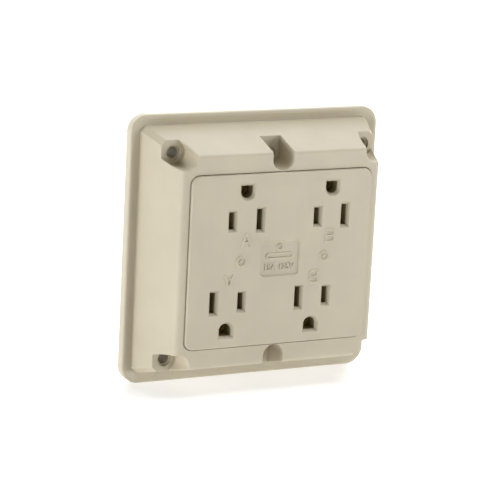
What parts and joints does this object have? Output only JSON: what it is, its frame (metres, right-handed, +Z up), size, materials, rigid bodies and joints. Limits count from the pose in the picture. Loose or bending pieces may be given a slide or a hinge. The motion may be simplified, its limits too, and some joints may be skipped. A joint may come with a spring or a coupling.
{
  "type": "four-outlet surface receptacle",
  "caption": "Square raised wall receptacle with four grounded outlets in two staggered pairs, screw pockets in its sloped cover, and rear binding terminals.",
  "frame": {"origin": "centre of the wall plane, in the middle of the four box-screw holes", "axes": "+X right and +Z up as seen by someone plugging in; the front faces -Y and the wall plane is Y = 0"},
  "size_m": [0.1142, 0.032, 0.1142],
  "materials": {
    "ivory_cover": "satin moulded thermoplastic",
    "ivory_face": "satin moulded thermoplastic",
    "dark_thermoset": "matt moulded thermoset",
    "rear_thermoset": "satin moulded thermoset",
    "fibre_sheet": "matt vulcanised fibre",
    "brass": "rolled brass strip",
    "brass_screw": "bright brass",
    "nickel_screw": "nickel plate",
    "green_screw": "green passivated steel",
    "zinc_steel": "zinc-plated steel"
  },
  "bodies": {
    "root": {"front_cover": "ivory_cover", "receptacle_face": "ivory_face", "contact_carrier": "dark_thermoset", "rear_cover": "rear_thermoset", "bus_insulator": "fibre_sheet", "line_bus": "brass", "neutral_bus": "brass", "line_contacts": "brass", "neutral_contacts": "brass", "contact_rivets": "brass", "ground_strap": "zinc_steel", "ground_contacts": "brass", "ground_rivets": "brass", "assembly_screws": "zinc_steel"},
    "line_a_clamp_body": {"line_a_clamp": "brass_screw"},
    "line_b_clamp_body": {"line_b_clamp": "brass_screw"},
    "neutral_a_clamp_body": {"neutral_a_clamp": "nickel_screw"},
    "neutral_b_clamp_body": {"neutral_b_clamp": "nickel_screw"},
    "ground_clamp_body": {"ground_clamp": "zinc_steel"},
    "line_a_screw_body": {"line_a_screw": "brass_screw"},
    "line_b_screw_body": {"line_b_screw": "brass_screw"},
    "neutral_a_screw_body": {"neutral_a_screw": "nickel_screw"},
    "neutral_b_screw_body": {"neutral_b_screw": "nickel_screw"},
    "ground_screw_body": {"ground_screw": "green_screw"}
  },
  "joints": [
    {"name": "line_a_clamp_slide", "type": "slide", "parent": "root", "child": "line_a_clamp_body", "axis": [0, 1, 0], "range_m": [0, 0.00238]},
    {"name": "line_b_clamp_slide", "type": "slide", "parent": "root", "child": "line_b_clamp_body", "axis": [0, 1, 0], "range_m": [0, 0.00238]},
    {"name": "neutral_a_clamp_slide", "type": "slide", "parent": "root", "child": "neutral_a_clamp_body", "axis": [0, 1, 0], "range_m": [0, 0.00238]},
    {"name": "neutral_b_clamp_slide", "type": "slide", "parent": "root", "child": "neutral_b_clamp_body", "axis": [0, 1, 0], "range_m": [0, 0.00238]},
    {"name": "ground_clamp_slide", "type": "slide", "parent": "root", "child": "ground_clamp_body", "axis": [0, 1, 0], "range_m": [0, 0.00238]},
    {"name": "line_a_screw_turn", "type": "hinge", "parent": "line_a_clamp_body", "child": "line_a_screw_body", "pos_m": [-0.036, -0.006, 0.008], "axis": [0, 1, 0], "range_deg": [0, 1080]},
    {"name": "line_b_screw_turn", "type": "hinge", "parent": "line_b_clamp_body", "child": "line_b_screw_body", "pos_m": [0.036, -0.006, -0.008], "axis": [0, 1, 0], "range_deg": [0, 1080]},
    {"name": "neutral_a_screw_turn", "type": "hinge", "parent": "neutral_a_clamp_body", "child": "neutral_a_screw_body", "pos_m": [-0.036, -0.006, -0.005], "axis": [0, 1, 0], "range_deg": [0, 1080]},
    {"name": "neutral_b_screw_turn", "type": "hinge", "parent": "neutral_b_clamp_body", "child": "neutral_b_screw_body", "pos_m": [0.036, -0.006, 0.005], "axis": [0, 1, 0], "range_deg": [0, 1080]},
    {"name": "ground_screw_turn", "type": "hinge", "parent": "ground_clamp_body", "child": "ground_screw_body", "pos_m": [-0.0335, -0.006, 0.02894], "axis": [0, 1, 0], "range_deg": [0, 1080]}
  ],
  "couplings": [
    {"joint": "line_a_screw_turn", "follows": "line_a_clamp_slide", "rad_per_m": 7915.8},
    {"joint": "line_b_screw_turn", "follows": "line_b_clamp_slide", "rad_per_m": 7915.8},
    {"joint": "neutral_a_screw_turn", "follows": "neutral_a_clamp_slide", "rad_per_m": 7915.8},
    {"joint": "neutral_b_screw_turn", "follows": "neutral_b_clamp_slide", "rad_per_m": 7915.8},
    {"joint": "ground_screw_turn", "follows": "ground_clamp_slide", "rad_per_m": 7915.8}
  ]
}
